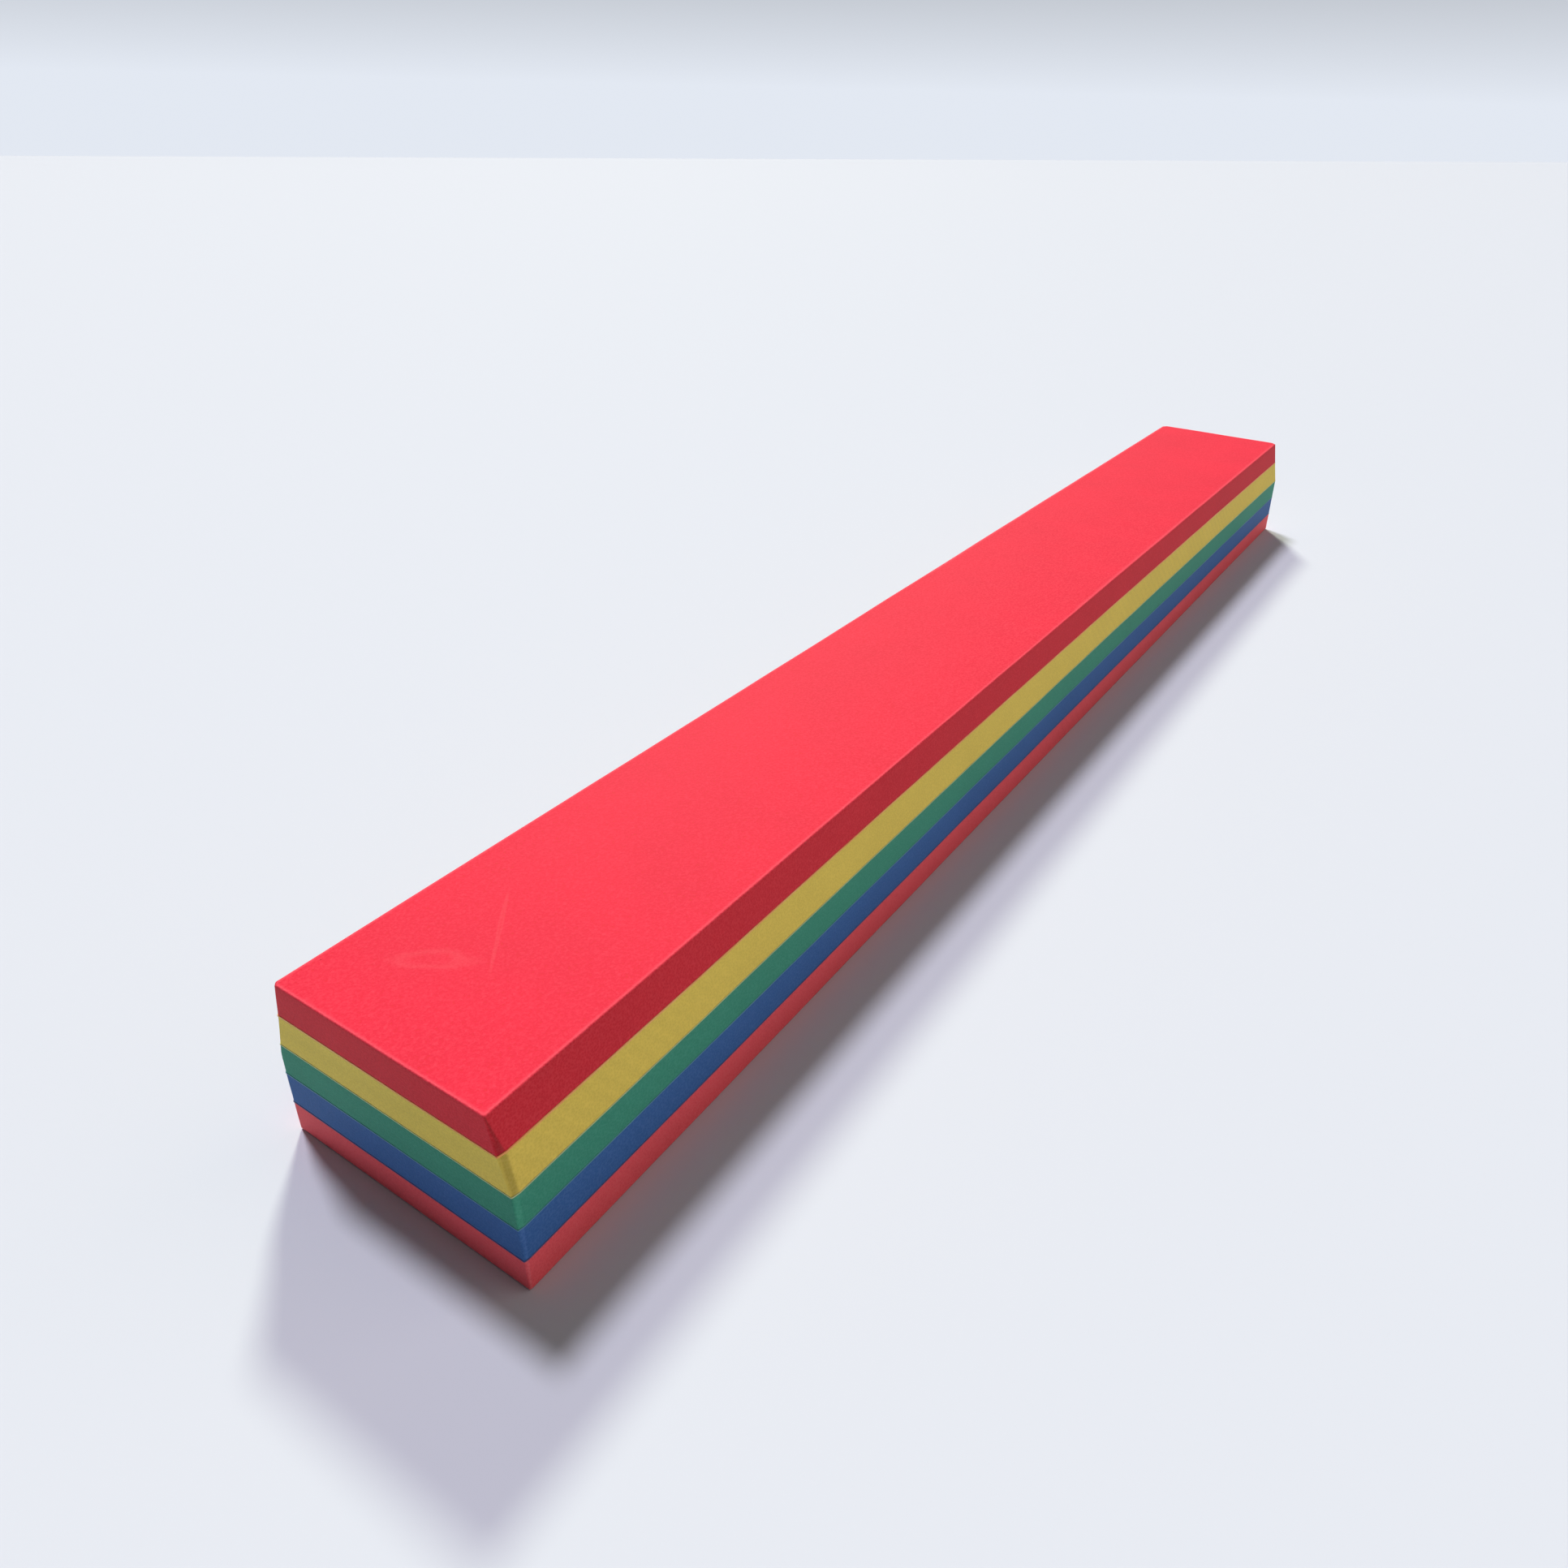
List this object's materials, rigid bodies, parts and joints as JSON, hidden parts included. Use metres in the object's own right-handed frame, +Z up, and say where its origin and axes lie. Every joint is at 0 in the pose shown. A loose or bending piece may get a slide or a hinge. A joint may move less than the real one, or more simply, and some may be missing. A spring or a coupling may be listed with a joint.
{
  "type": "balance beam",
  "caption": "Low foam balance beam for beginners: a stack of glued coloured boards with a flat tread, sloping upper sides and a flat base.",
  "frame": {"origin": "on the floor, under the middle of the beam", "axes": "+X along the beam, +Y across it, +Z up from the floor to the tread"},
  "size_m": [1.2, 0.1518, 0.0971],
  "materials": {
    "foam_red_base": "matte",
    "foam_blue": "matte",
    "foam_green": "matte",
    "foam_yellow": "matte",
    "foam_red_tread": "matte",
    "glue_red_blue": "satin",
    "glue_blue_green": "satin",
    "glue_green_yellow": "satin",
    "glue_yellow_red": "satin"
  },
  "bodies": {
    "root": {"base_board_red": "foam_red_base", "glue_film_red_blue": "glue_red_blue", "lower_board_blue": "foam_blue", "glue_film_blue_green": "glue_blue_green", "middle_board_green": "foam_green", "glue_film_green_yellow": "glue_green_yellow", "upper_board_yellow": "foam_yellow", "glue_film_yellow_red": "glue_yellow_red", "tread_board_red": "foam_red_tread"}
  },
  "joints": []
}
